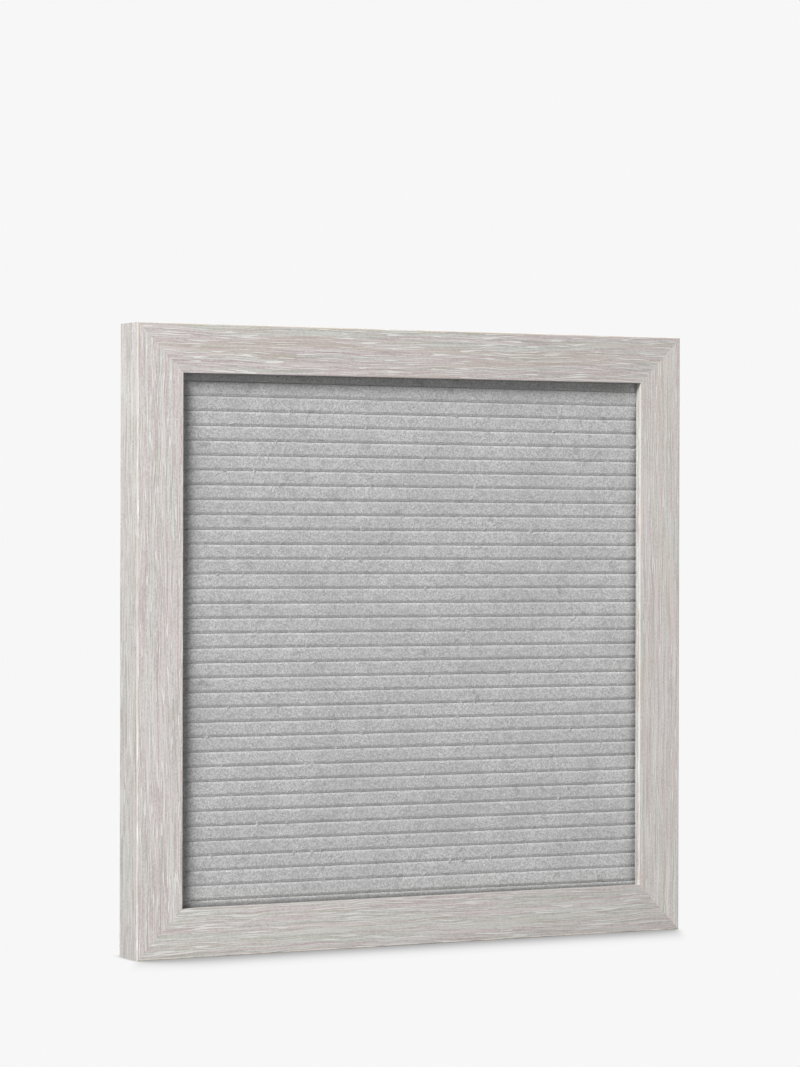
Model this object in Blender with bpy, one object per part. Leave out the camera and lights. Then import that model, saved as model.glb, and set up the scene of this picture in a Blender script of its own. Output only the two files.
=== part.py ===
"""A square letter board: four mitred wooden rails around a grooved felt panel.

X runs to the right, Y from the front to the back, Z up. The origin is the
middle of the frame's underside, half way through its depth. Sizes are metres.
"""

import math

import bmesh
import bpy
from mathutils import Vector

# The outside of the frame
FRAME_WIDTH = 0.254
FRAME_HEIGHT = 0.254
FRAME_DEPTH = 0.0176

# The section that all four rails share
RAIL_FACE = 0.0198
LIP_THICKNESS = 0.0036
RABBET_WIDTH = 0.006
FRONT_ARRIS = 0.0007
BACK_ARRIS = 0.0004
ARRIS_STEPS = 3

# What two pieces that touch keep between them
GAP = 0.0003

# The felt panel, which hangs a little lower at its right end
PANEL_THICKNESS = 0.005
PANEL_DROOP = 0.0005
GROOVE_PITCH = 0.00597
GROOVE_WIDTH = 0.0006
GROOVE_DEPTH = 0.003
RIDGE_ROUND = 0.0005
RIDGE_STEPS = 2

# The board behind the felt panel
BACKING_THICKNESS = 0.003
BACKING_CLEARANCE = 0.0005

# The steel points that hold the backing in the rabbet
POINTS_PER_SIDE = 2
POINT_WIDTH = 0.006
POINT_THICKNESS = 0.0005
POINT_BITE = 0.005
POINT_REACH = 0.008
POINT_TIP = 0.0025

# The V-shaped nails that pull each mitre together from behind
V_NAILS_PER_CORNER = 2
V_NAIL_LEG = 0.0042
V_NAIL_THICKNESS = 0.0004
V_NAIL_DEPTH = 0.008
V_NAIL_SINK = 0.0003
V_NAIL_EDGE = 0.0018

# The sawtooth hanger on the back of the top rail
HANGER_LENGTH = 0.045
HANGER_WIDTH = 0.009
HANGER_THICKNESS = 0.0007
HANGER_FOOT = 0.008
HANGER_RAMP = 0.002
HANGER_RISE = 0.0015
TOOTH_PITCH = 0.0025
TOOTH_DEPTH = 0.0015

# The two nails that fix the hanger
PIN_DIAMETER = 0.0014
PIN_LENGTH = 0.009
PIN_TAPER = 0.002
PIN_HEAD_DIAMETER = 0.003
PIN_HEAD_THICKNESS = 0.0006
PIN_SIDES = 12

# How far a cutter stands out of the face that it opens
CUTTER_MARGIN = 0.001

# Colours are linear
OAK = (0.60, 0.56, 0.53)
FELT = (0.46, 0.46, 0.46)
HARDBOARD = (0.25, 0.15, 0.08)
STEEL = (0.55, 0.55, 0.56)
BRASSED_STEEL = (0.60, 0.47, 0.22)

# Places that follow from the sizes above, through the depth
FRONT_Y = -FRAME_DEPTH / 2
BACK_Y = FRAME_DEPTH / 2
LIP_BACK_Y = FRONT_Y + LIP_THICKNESS
PANEL_FRONT_Y = LIP_BACK_Y + GAP
PANEL_BACK_Y = PANEL_FRONT_Y + PANEL_THICKNESS
BACKING_FRONT_Y = PANEL_BACK_Y + GAP
BACKING_BACK_Y = BACKING_FRONT_Y + BACKING_THICKNESS
POINT_FRONT_Y = BACKING_BACK_Y + GAP

# Places and sizes that follow from them across the face
RABBET_WALL = RAIL_FACE - RABBET_WIDTH
PANEL_CLEARANCE = PANEL_DROOP + GAP
PANEL_WIDTH = FRAME_WIDTH - 2 * (RABBET_WALL + PANEL_CLEARANCE)
PANEL_HEIGHT = FRAME_HEIGHT - 2 * (RABBET_WALL + PANEL_CLEARANCE)
SIGHT_HEIGHT = FRAME_HEIGHT - 2 * RAIL_FACE


def clear_scene():
    for obj in list(bpy.data.objects):
        bpy.data.objects.remove(obj, do_unlink=True)


def make_material(name, colour, roughness, metallic=0.0):
    material = bpy.data.materials.new(name)
    material.use_nodes = True
    shader = material.node_tree.nodes["Principled BSDF"]
    shader.inputs["Base Color"].default_value = (*colour, 1.0)
    shader.inputs["Roughness"].default_value = roughness
    shader.inputs["Metallic"].default_value = metallic
    material.diffuse_color = (*colour, 1.0)
    return material


def make_object(name, bm, parent, material=None, place=(0.0, 0.0, 0.0)):
    """An object from a bmesh whose faces are turned outwards first."""
    bmesh.ops.recalc_face_normals(bm, faces=bm.faces)
    mesh = bpy.data.meshes.new(name)
    bm.to_mesh(mesh)
    bm.free()
    obj = bpy.data.objects.new(name, mesh)
    bpy.context.collection.objects.link(obj)
    obj.parent = parent
    obj.location = place
    if material:
        mesh.materials.append(material)
    return obj


def make_empty(name, place, turn):
    """An empty that is turned about Y, for pieces that repeat around the frame."""
    empty = bpy.data.objects.new(name, None)
    bpy.context.collection.objects.link(empty)
    empty.location = place
    empty.rotation_euler = (0.0, turn, 0.0)
    return empty


def cut(target, cutter):
    modifier = target.modifiers.new("cut_" + cutter.name, "BOOLEAN")
    modifier.operation = "DIFFERENCE"
    modifier.solver = "EXACT"
    modifier.object = cutter
    cutter.hide_render = True
    cutter.display_type = "WIRE"


def arc(centre, radius, start, end, steps):
    """Points on an arc, in a plane whose two axes are named by the caller."""
    points = []
    for step in range(steps + 1):
        angle = math.radians(start + (end - start) * step / steps)
        across = centre[0] + radius * math.cos(angle)
        up = centre[1] + radius * math.sin(angle)
        points.append((across, up))
    return points


def extrude(bm, points, shift):
    """A closed solid from a ring of points, moved along shift."""
    face = bm.faces.new([bm.verts.new(point) for point in points])
    near = list(face.verts)
    result = bmesh.ops.extrude_face_region(bm, geom=[face])
    far = [item for item in result["geom"] if isinstance(item, bmesh.types.BMVert)]
    bmesh.ops.translate(bm, verts=far, vec=Vector(shift))
    return near, far


def plate(outline, y_start, y_end):
    """An outline in X and Z, made solid from y_start to y_end."""
    bm = bmesh.new()
    ring = [(x, y_start, z) for x, z in outline]
    extrude(bm, ring, (0.0, y_end - y_start, 0.0))
    return bm


def turned(profile, sides):
    """A solid of rings about Y, from (y, radius) pairs between two flat ends."""
    bm = bmesh.new()
    rings = []
    for y, radius in profile:
        angles = [2 * math.pi * side / sides for side in range(sides)]
        rings.append([bm.verts.new((radius * math.cos(a), y, radius * math.sin(a))) for a in angles])
    for near, far in zip(rings, rings[1:]):
        for side in range(sides):
            after = (side + 1) % sides
            bm.faces.new((near[side], near[after], far[after], far[side]))
    bm.faces.new(rings[0])
    bm.faces.new(rings[-1])
    return bm


def rectangle(x_low, x_high, z_low, z_high):
    return [(x_low, z_low), (x_high, z_low), (x_high, z_high), (x_low, z_high)]


def rail_section():
    """The rail's section as (y, z), with z measured inwards from its outer face."""
    arris = FRONT_ARRIS
    back = BACK_ARRIS
    outer_front = arc((FRONT_Y + arris, arris), arris, 180, 270, ARRIS_STEPS)
    outer_back = arc((BACK_Y - back, back), back, 270, 360, ARRIS_STEPS)
    rabbet = [(BACK_Y, RABBET_WALL), (LIP_BACK_Y, RABBET_WALL), (LIP_BACK_Y, RAIL_FACE)]
    inner_front = arc((FRONT_Y + arris, RAIL_FACE - arris), arris, 90, 180, ARRIS_STEPS)
    return outer_front + outer_back + rabbet + inner_front


def make_rail(side, length, wood):
    """A rail whose ends are cut at 45 degrees, half a gap short of the mitre."""
    bm = bmesh.new()
    setback = GAP / 2 * math.sqrt(2)
    near, far = extrude(bm, [(0.0, y, z) for y, z in rail_section()], (length, 0.0, 0.0))
    for vert in near:
        vert.co.x = -(length / 2 - vert.co.z - setback)
    for vert in far:
        vert.co.x = length / 2 - vert.co.z - setback
    return make_object("rail_" + side["name"], bm, side["empty"], wood)


def point_places(length):
    """Where the points stand along one side, spread evenly over the sight opening."""
    sight = length - 2 * RAIL_FACE
    steps = range(POINTS_PER_SIDE)
    return [((step + 0.5) / POINTS_PER_SIDE - 0.5) * sight for step in steps]


def make_points(side, length, rail, steel):
    """Flat arrow-ended tabs, driven into the rabbet's wall behind the backing."""
    half = POINT_WIDTH / 2
    tip = RABBET_WALL - POINT_BITE
    shoulder = tip + POINT_TIP
    outline = [(-half, shoulder), (0.0, tip), (half, shoulder)]
    outline += [(half, RABBET_WALL + POINT_REACH), (-half, RABBET_WALL + POINT_REACH)]
    slot_end = RABBET_WALL + CUTTER_MARGIN
    slot = rectangle(-half - GAP, half + GAP, tip - GAP, slot_end)
    back_y = POINT_FRONT_Y + POINT_THICKNESS
    for number, x in enumerate(point_places(length), start=1):
        tag = side["name"] + "_" + str(number)
        place = (x, 0.0, 0.0)
        tab = plate(outline, POINT_FRONT_Y, back_y)
        make_object("point_" + tag, tab, side["empty"], steel, place)
        opening = plate(slot, POINT_FRONT_Y - GAP, back_y + GAP)
        cut(rail, make_object("point_slot_" + tag, opening, side["empty"], place=place))


def v_outline(apex, grow):
    """Two legs at right angles whose apex lies on the mitre, pointing inwards."""
    half = V_NAIL_THICKNESS / 2 + grow
    leg = V_NAIL_LEG + grow
    corners = [(half, half), (-leg, half), (-leg, -half), (-half, -half), (-half, -leg), (half, -leg)]
    return [(apex + x, apex + z) for x, z in corners]


def v_nail_apexes():
    """Distances of the apexes from the frame's outer faces, on the back of the rails."""
    first = V_NAIL_EDGE + V_NAIL_LEG
    last = RABBET_WALL - V_NAIL_EDGE
    gaps = max(V_NAILS_PER_CORNER - 1, 1)
    return [first + (last - first) * step / gaps for step in range(V_NAILS_PER_CORNER)]


def make_v_nails(corner, rails, steel):
    """V-nails across one mitre, and the slots that they fill in both rails."""
    head_y = BACK_Y - V_NAIL_SINK
    foot_y = head_y - V_NAIL_DEPTH
    for number, apex in enumerate(v_nail_apexes(), start=1):
        tag = corner["name"] + "_" + str(number)
        nail = plate(v_outline(apex, 0.0), foot_y, head_y)
        make_object("v_nail_" + tag, nail, corner["empty"], steel)
        slot = plate(v_outline(apex, GAP), foot_y - GAP, BACK_Y + CUTTER_MARGIN)
        cutter = make_object("v_slot_" + tag, slot, corner["empty"])
        for side_name in corner["sides"]:
            cut(rails[side_name], cutter)


def groove(centre):
    """One groove of the felt panel as (y, z), from its upper ridge to its lower one."""
    half = GROOVE_WIDTH / 2
    face = PANEL_FRONT_Y
    radius = RIDGE_ROUND
    floor = face + GROOVE_DEPTH
    above = arc((face + radius, centre + half + radius), radius, 180, 270, RIDGE_STEPS)
    below = arc((face + radius, centre - half - radius), radius, 90, 180, RIDGE_STEPS)
    return above + [(floor, centre + half), (floor, centre - half)] + below


def groove_centres():
    """Heights from the panel's middle, as many as the sight opening shows."""
    count = int(SIGHT_HEIGHT / GROOVE_PITCH) + 1
    return [((count - 1) / 2 - step) * GROOVE_PITCH for step in range(count)]


def make_panel(felt):
    """The felt-covered board with its rows of grooves, set slightly askew."""
    top = PANEL_HEIGHT / 2
    section = [(PANEL_FRONT_Y, top)]
    for centre in groove_centres():
        section += groove(centre)
    section += [(PANEL_FRONT_Y, -top), (PANEL_BACK_Y, -top), (PANEL_BACK_Y, top)]
    bm = bmesh.new()
    extrude(bm, [(-PANEL_WIDTH / 2, y, z) for y, z in section], (PANEL_WIDTH, 0.0, 0.0))
    panel = make_object("felt_letter_panel", bm, None, felt, (0.0, 0.0, FRAME_HEIGHT / 2))
    longest = max(PANEL_WIDTH, PANEL_HEIGHT)
    panel.rotation_euler = (0.0, math.asin(2 * PANEL_DROOP / longest), 0.0)


def make_backing(hardboard):
    half_width = FRAME_WIDTH / 2 - RABBET_WALL - BACKING_CLEARANCE
    half_height = FRAME_HEIGHT / 2 - RABBET_WALL - BACKING_CLEARANCE
    outline = rectangle(-half_width, half_width, -half_height, half_height)
    board = plate(outline, BACKING_FRONT_Y, BACKING_BACK_Y)
    make_object("backing_board", board, None, hardboard, (0.0, 0.0, FRAME_HEIGHT / 2))


def hanger_stations():
    """The hanger as (x, y, upper z, lower z), with its teeth on the raised middle."""
    end = HANGER_LENGTH / 2
    foot = end - HANGER_FOOT
    raised = foot - HANGER_RAMP
    half = HANGER_WIDTH / 2
    teeth = int(2 * raised / TOOTH_PITCH)
    row = teeth * TOOTH_PITCH / 2
    stations = [(-end, 0.0, -half, half), (-foot, 0.0, -half, half)]
    stations.append((-raised, HANGER_RISE, -half, half))
    for step in range(2 * teeth + 1):
        x = -row + step * TOOTH_PITCH / 2
        notch = TOOTH_DEPTH if step % 2 else 0.0
        if abs(x) < raised:
            stations.append((x, HANGER_RISE, -half, half - notch))
    stations.append((raised, HANGER_RISE, -half, half))
    stations += [(foot, 0.0, -half, half), (end, 0.0, -half, half)]
    return stations


def hanger_strip():
    """The bent and serrated strip, made solid along Y."""
    bm = bmesh.new()
    columns = []
    for x, y, upper, lower in hanger_stations():
        columns.append((bm.verts.new((x, y, upper)), bm.verts.new((x, y, lower))))
    for near, far in zip(columns, columns[1:]):
        bm.faces.new((near[0], far[0], far[1], near[1]))
    result = bmesh.ops.extrude_face_region(bm, geom=list(bm.faces))
    far_side = [item for item in result["geom"] if isinstance(item, bmesh.types.BMVert)]
    bmesh.ops.translate(bm, verts=far_side, vec=(0.0, HANGER_THICKNESS, 0.0))
    return bm


def pin_profile():
    """A nail as (y, radius), from its blunt point to the top of its head."""
    radius = PIN_DIAMETER / 2
    under_head = BACK_Y + HANGER_THICKNESS + 2 * GAP
    point = under_head - PIN_LENGTH
    head = PIN_HEAD_DIAMETER / 2
    profile = [(point, radius / 4), (point + PIN_TAPER, radius), (under_head, radius)]
    return profile + [(under_head, head), (under_head + PIN_HEAD_THICKNESS, head)]


def make_hanger(side, rail, plating, steel):
    """The hanger and its two nails, half way across the back of the top rail."""
    level = RABBET_WALL / 2
    place = (0.0, BACK_Y + GAP, level)
    hanger = make_object("sawtooth_hanger", hanger_strip(), side["empty"], plating, place)
    hole_radius = PIN_DIAMETER / 2 + GAP
    profile = pin_profile()
    hole = [(profile[0][0] - GAP, hole_radius), (profile[-1][0] + CUTTER_MARGIN, hole_radius)]
    reach = (HANGER_LENGTH - HANGER_FOOT) / 2
    for name, x in (("left", reach), ("right", -reach)):
        spot = (x, 0.0, level)
        make_object("hanger_nail_" + name, turned(profile, PIN_SIDES), side["empty"], steel, spot)
        cutter = make_object("nail_hole_" + name, turned(hole, PIN_SIDES), side["empty"], place=spot)
        cut(hanger, cutter)
        cut(rail, cutter)


def frame_sides():
    """Each side's empty stands at the middle of its outer edge, its Z turned inwards."""
    middle = FRAME_HEIGHT / 2
    edge = FRAME_WIDTH / 2
    rows = (
        ("bottom", (0.0, 0.0, 0.0), 0, FRAME_WIDTH),
        ("top", (0.0, 0.0, FRAME_HEIGHT), 180, FRAME_WIDTH),
        ("left", (-edge, 0.0, middle), 90, FRAME_HEIGHT),
        ("right", (edge, 0.0, middle), -90, FRAME_HEIGHT),
    )
    sides = []
    for name, place, turn, length in rows:
        empty = make_empty("side_" + name, place, math.radians(turn))
        sides.append({"name": name, "empty": empty, "length": length})
    return sides


def frame_corners():
    """Each corner's empty stands on the frame's corner, its X and Z turned inwards."""
    edge = FRAME_WIDTH / 2
    rows = (
        ("bottom_left", (-edge, 0.0, 0.0), 0),
        ("bottom_right", (edge, 0.0, 0.0), -90),
        ("top_left", (-edge, 0.0, FRAME_HEIGHT), 90),
        ("top_right", (edge, 0.0, FRAME_HEIGHT), 180),
    )
    corners = []
    for name, place, turn in rows:
        empty = make_empty("corner_" + name, place, math.radians(turn))
        corners.append({"name": name, "empty": empty, "sides": name.split("_")})
    return corners


def main():
    clear_scene()
    wood = make_material("limed_oak", OAK, 0.6)
    felt = make_material("grey_felt", FELT, 0.95)
    hardboard = make_material("hardboard", HARDBOARD, 0.8)
    steel = make_material("steel", STEEL, 0.35, metallic=1.0)
    plating = make_material("brassed_steel", BRASSED_STEEL, 0.35, metallic=1.0)
    rails = {}
    for side in frame_sides():
        rail = make_rail(side, side["length"], wood)
        rails[side["name"]] = rail
        make_points(side, side["length"], rail, steel)
        if side["name"] == "top":
            make_hanger(side, rail, plating, steel)
    for corner in frame_corners():
        make_v_nails(corner, rails, steel)
    make_panel(felt)
    make_backing(hardboard)


main()
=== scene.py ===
"""The looks of the letter board: limed oak, grooved felt, steel fixings, light and camera.

X runs to the right, Y from the front to the back and Z up, in metres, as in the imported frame.
"""

import math
import random

import bmesh
import bpy
from mathutils import Matrix, Vector, noise


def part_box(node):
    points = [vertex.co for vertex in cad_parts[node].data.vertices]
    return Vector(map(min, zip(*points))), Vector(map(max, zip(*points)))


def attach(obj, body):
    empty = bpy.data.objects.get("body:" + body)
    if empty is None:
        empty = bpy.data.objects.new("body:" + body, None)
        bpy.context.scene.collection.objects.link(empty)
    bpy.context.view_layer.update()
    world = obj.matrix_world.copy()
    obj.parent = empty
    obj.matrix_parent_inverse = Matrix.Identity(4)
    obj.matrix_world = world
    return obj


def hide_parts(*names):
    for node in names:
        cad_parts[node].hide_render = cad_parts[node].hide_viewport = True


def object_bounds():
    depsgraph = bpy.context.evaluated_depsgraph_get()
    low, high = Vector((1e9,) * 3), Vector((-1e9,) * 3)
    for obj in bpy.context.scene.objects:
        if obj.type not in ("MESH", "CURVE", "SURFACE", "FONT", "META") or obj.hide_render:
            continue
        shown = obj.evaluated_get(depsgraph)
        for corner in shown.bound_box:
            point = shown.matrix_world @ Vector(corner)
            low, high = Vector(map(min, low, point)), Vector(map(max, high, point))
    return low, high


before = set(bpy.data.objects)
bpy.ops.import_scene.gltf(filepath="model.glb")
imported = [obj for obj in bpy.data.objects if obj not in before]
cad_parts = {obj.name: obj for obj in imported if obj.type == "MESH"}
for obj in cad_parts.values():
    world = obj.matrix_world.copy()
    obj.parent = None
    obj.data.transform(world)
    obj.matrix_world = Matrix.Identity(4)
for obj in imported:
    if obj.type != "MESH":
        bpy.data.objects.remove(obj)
cad_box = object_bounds()

MM = 0.001
MILLIMETRES = (1000.0, 1000.0, 1000.0)

# The photograph's frame, and the camera that took it
PHOTO_HEIGHT_PX = 1067
FOCAL_PX = 3666.6
SENSOR_MM = 36.0
CAMERA_PLACE = Vector((-0.7201, -1.3426, 0.1761))
CAMERA_TURN = math.radians(28.06)
CAMERA_PITCH = math.radians(-0.23)
CAMERA_ROLL = math.radians(0.134)

# The page behind the board and what it gives back, as linear values
PAGE_WHITE = 0.93
SKY_LIGHT = 0.10
FLOOR_BOUNCE = 0.20
FLOOR_HALF_SIZE = 6.0
FLOOR_DROP = 0.05 * MM
CONTACT_REACH = 0.042
CONTACT_SAMPLES = 16
CONTACT_DEPTH = 1.72
CONTACT_CURVE = 1.35
CONTACT_DARKEST = 0.48
CONTACT_END_FADE = 3.0 * MM
CONTACT_BEHIND = 4.0 * MM
CONTACT_SLANT = 0.54

# Lamps: the way to each from the board's middle, its distance, size and power in watts
KEY_LAMP = {"toward": (-1.68, -1.0, 1.52), "distance": 4.2, "size": 2.1, "power": 321.0}
FILL_LAMP = {"toward": (0.35, -0.92, 0.15), "distance": 2.4, "size": 1.6, "power": 6.0}
BACK_LAMP = {"toward": (0.55, 0.75, 0.36), "distance": 2.2, "size": 1.2, "power": 40.0}

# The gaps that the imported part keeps, and the fine one that is left here at the mitres
CAD_GAP = 0.3 * MM
BACKING_CLEARANCE = 0.5 * MM
MITRE_GAP = 0.015 * MM

# The rails' rounded edges, which swell and shrink along a rail but not at its ends
OUTER_ARRIS = 0.4 * MM
INNER_ARRIS = 0.2 * MM
BACK_ARRIS = 0.35 * MM
ARRIS_STEPS = 4
ARRIS_WANDER = 0.3
WANDER_WAVES = 9
WANDER_PLACE = 40
WANDER_END_POWER = 8
RAIL_SHARP_ANGLE = math.radians(40)

# Spacing of the rails' points on seen faces, on hidden ones and along the rail
FACE_STEP = 0.3 * MM
HIDDEN_STEP = 2.5 * MM
STATION_STEP = 1.6 * MM

# Room round a V-nail in its slot, and the distance within which its corners are welded
SLOT_ROOM = 0.08 * MM
WELD = 0.001 * MM

# Each rail's own cut: grain pattern, lightness, strength of the grain, share and half range of pink, share
# of amber, how much paler its painted falloff of light makes it per metre along X, and strength of the lime
# in its pores
RAIL_LOOKS = {
    "bottom": {
        "seed": 1.0, "tone": 0.932, "contrast": 0.84, "blush": 0.0,
        "flush": 0.12, "amber": 0.12, "painted_falloff": -0.60, "lime": 0.66,
    },
    "top": {
        "seed": 2.0, "tone": 0.915, "contrast": 0.86, "blush": 0.07,
        "flush": 0.075, "amber": 0.28, "painted_falloff": -0.40, "lime": 0.85,
    },
    "left": {
        "seed": 3.0, "tone": 0.974, "contrast": 0.90, "blush": 0.06,
        "flush": 0.125, "amber": 0.05, "painted_falloff": 0.0, "lime": 0.66,
    },
    "right": {
        "seed": 4.0, "tone": 0.968, "contrast": 0.82, "blush": 0.015,
        "flush": 0.14, "amber": 0.20, "painted_falloff": 0.0, "lime": 0.50,
    },
}

# Painted shade on the rails' flanks: their tone at half height against their faces, and its gain per metre
# upward. The right rail's inner wall and outer side carry less of it, and the wall's top end carries
# painted light.
FLANK_SHADE_TONE = 0.698
FLANK_SHADE_FADE = 0.35
WALL_SHADE_TONE = 0.735
WALL_SHADE_FADE = 0.75
OUTSIDE_SHADE_TONE = 0.95
CORNER_PAINTED_LIGHT = 0.25

# Where the looks of the rails change, in millimetres: behind the front and before the back for the flanks,
# down from the wall's top end, in from each edge for the arrises, down from the top of the left arris,
# which is all painted shade there, and up from the underside of the bottom rail, which is darker
FLANK_START = (0.5, 1.5)
FLANK_END = (0.6, 0.1)
CORNER_REACH = 6.0
FRONT_REACH = (0.1, 0.9)
OUTER_REACH = (0.1, 1.0)
INNER_REACH = (0.0, 0.5)
LEFT_ARRIS_SHADE_REACH = 42.0
FOOT_REACH = (0.8, 3.2)
FOOT_TONE = 0.89

# Noises of the materials: waves per millimetre along each axis, on the oak along, through and
# across the grain. Detail, roughness and shift are named where they aren't the plain ones.
PLAIN_NOISE = {"detail": 2.0, "roughness": 0.5, "shift": (0.0, 0.0, 0.0)}
NOISES = {
    "oak_drift": {"scale": (0.010, 0.06, 0.06), "detail": 1.0},
    "oak_ripple": {"scale": (0.055, 0.10, 0.10), "detail": 1.0},
    "oak_bands": {"scale": (0.006, 0.18, 0.18)},
    "oak_rose": {"scale": (0.020, 0.75, 0.75)},
    "oak_warmth": {"scale": (0.014, 0.28, 0.28)},
    "oak_lines": {"scale": (0.018, 1.05, 1.05), "detail": 1.0},
    "oak_threads": {"scale": (0.055, 2.1, 2.1), "detail": 1.0},
    "oak_groups": {"scale": (0.03, 0.2, 0.22), "detail": 1.0},
    "oak_specks": {"scale": (1.0, 2.0, 2.0), "detail": 1.0},
    "oak_chips": {"scale": (0.07, 0.3, 0.3), "detail": 3.0, "roughness": 0.7},
    "level_dashes": {"scale": (0.09, 2.2, 2.2), "detail": 0.0},
    "upright_dashes": {"scale": (0.11, 2.1, 2.1), "detail": 0.0},
    "felt_speckle": {"scale": (1.5, 1.5, 1.5), "roughness": 0.6},
    "felt_fibres": {"scale": (0.7, 0.7, 2.4), "shift": (3.0, 7.0, 1.0)},
    "felt_mottle": {"scale": (0.35, 0.35, 0.35), "detail": 1.0},
    "felt_blotches": {"scale": (0.045, 0.045, 0.045)},
    "felt_smudges": {
        "scale": (0.15, 0.15, 0.26), "detail": 3.0, "roughness": 0.7, "shift": (5.0, 2.0, 8.0),
    },
    "felt_flecks": {"scale": (2.3, 2.3, 2.3), "detail": 0.0, "shift": (9.0, 4.0, 6.0)},
    "felt_gathered": {"scale": (0.10, 0.10, 0.14), "detail": 1.0, "shift": (1.0, 6.0, 2.0)},
    "lint_tone": {"scale": (0.2, 0.2, 0.2), "detail": 1.0},
    "board_fibre": {"scale": (0.9, 0.9, 0.9), "detail": 6.0, "roughness": 0.75},
    "board_clouds": {"scale": (0.03, 0.03, 0.03), "detail": 3.0},
    "metal_brushing": {"scale": (0.4, 3.0, 6.0), "detail": 3.0},
    "metal_patches": {"scale": (0.5, 0.5, 0.5)},
}
SEED_SHIFT = (17.3, 5.1, 9.7)
NOISE_MIDDLE = 0.5

# How many millimetres drift and ripple bend the grain, and what each noise adds to its lightness
DRIFT_SWING = 4.0
RIPPLE_SWING = 1.7
LINE_SHARE = 0.36
THREAD_SHARE = 0.33
BAND_SHARE = 0.06
SPECK_SHARE = 0.29
FACE_HALF_RANGE = 0.145
FLANK_HALF_RANGE = 0.066

# The oak's colours as display levels from 0 to 255, and how far the grain spreads the first four
GRAIN_SPREAD = 23
SAGE_DARK = (202, 200, 192)
SAGE_PALE = (199, 200, 194)
PINK_DARK = (205, 192, 190)
PINK_PALE = (201, 193, 192)
AMBER = (204, 190, 172)
PORE_SHADOW = (160, 153, 148)
LIME = (245, 244, 240)
WARMTH_EDGE = (0.45, 0.65)
FLANK_SAGE = 0.35
FLANK_BLUSH = (0.1, 0.1, 0.1, 1.0)

# Strokes of lime: how they gather, where one begins and ends in its noise, and the painted shadow beside
# each
GROUP_EDGE = (0.42, 0.60)
GROUP_BIAS = (-0.05, 0.03)
LEVEL_DASH_EDGE = (0.60, 0.65)
UPRIGHT_DASH_EDGE = (0.62, 0.68)
DASH_OFFSET = 0.6
DASH_SHADOW = 0.35

# Tints of the worn arrises and of the lips, how far the arrises are worn, how much of each lip its painted
# shade covers, and the oak's relief and gloss
ARRIS_WEAR_AND_PAINTED_LIGHT = {
    # The bottom arris's pale tint is painted light on an edge that faces the floor
    "bottom": (255, 246, 230),
    "top": (194, 183, 166),
    # The left arris's grey tint is painted shade that holds back its highlight
    "left": (170, 164, 152),
    "right": (204, 199, 193),
}
# The lips' tints are painted shade along the rails' inner edges, paler on the right rail
LIP_PAINTED_SHADE = (158, 152, 147)
PALE_LIP_PAINTED_SHADE = (191, 183, 177)
CHIP_EDGE = (0.40, 0.60)
CHIP_WEAR = (0.20, 0.90)
LIP_SHADE_COVER = 0.7
GRAIN_RELIEF = 0.6
OAK_BUMP = (0.04 * MM, 0.5)
OAK_ROUGHNESS = 0.60
LIME_ROUGHNESS = 0.75

# The felt's colours and gloss, what each noise adds to its lightness, and where in their noises the
# blotches, smudges and flecks begin and end, with how much of each shows or is added there
FELT_DARK = (163, 163, 163)
FELT_PALE = (202, 202, 202)
BLOTCH = (156, 156, 157)
SMUDGE = (138, 138, 139)
FLECK = (232, 232, 231)
SPECKLE_SHARE = 0.66
FIBRE_SHARE = 0.25
MOTTLE_SHARE = 0.09
LIGHT_STEP = (0.37, 0.63)
BLOTCH_STEP = (0.35, 0.65, 0.0, 0.2)
SMUDGE_STEP = (0.60, 0.72, 0.0, 0.55)
GATHER_STEP = (0.40, 0.65, -0.06, 0.04)
FLECK_STEP = (0.66, 0.74, 0.0, 0.55)
FELT_SHEEN = 0.15
FELT_SHEEN_ROUGHNESS = 0.6
FELT_ROUGHNESS = 0.95
LINT_ROUGHNESS = 0.9
FIBRE_SPECULAR = 0.1
FELT_BUMP = (0.12 * MM, 0.7)

# The same for the loose fibres, the hardboard and the metals
LINT_DARK = (206, 206, 206)
LINT_PALE = (240, 240, 239)
LINT_STEP = (0.4, 0.6)
BOARD_DARK = (122, 92, 64)
BOARD_PALE = (158, 124, 90)
BOARD_CLOUD = (110, 82, 58)
BOARD_STEP = (0.35, 0.65)
CLOUD_STEP = (0.35, 0.65, 0.0, 0.3)
BOARD_ROUGHNESS = 0.8
BOARD_BUMP = (0.08 * MM, 0.5)
STEEL = (196, 197, 199)
STEEL_DULL = (168, 168, 170)
BRASS = (214, 184, 122)
BRASS_DULL = (186, 152, 92)
DULL_STEP = (0.45, 0.65, 0.0, 0.5)
METAL_ROUGHNESS_STEP = (0.3, 0.7, 0.28, 0.45)
METAL_BUMP = (0.01 * MM, 0.4)

# The felt panel's grooves, and the rounded edges of the ridges between them
PANEL_DROOP = 0.5 * MM
GROOVE_COUNT = 36
GROOVE_PITCH = 5.97 * MM
GROOVE_MOUTH = 0.12 * MM
GROOVE_DEPTH = 3.0 * MM
GROOVE_SHIFT = -0.62 * MM
UPPER_EDGE_HEIGHT = 0.95 * MM
UPPER_EDGE_DEPTH = 0.24 * MM
UPPER_EDGE_CURVE = 1.6
LOWER_EDGE_HEIGHT = 1.10 * MM
LOWER_EDGE_DEPTH = 0.31 * MM
EDGE_HOLD = 0.15 * MM
RIDGE_STEPS = 4
RIDGE_SPACING = 1.2 * MM
LAST_RIDGE_SPACING = 0.45 * MM
FELT_SHARP_ANGLE = math.radians(50)

# The lip presses the felt back along the right and lower edges of the opening, but not near the top
FELT_DIP = 0.65 * MM
DIP_CURVE = 1.6
SIDE_DIP_REACH = 5.0 * MM
END_DIP_REACH = 3.5 * MM
DIP_UNDER_LIP = 1.3
DIP_START = 2.0 * MM
DIP_FULL = 14.0 * MM
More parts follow.
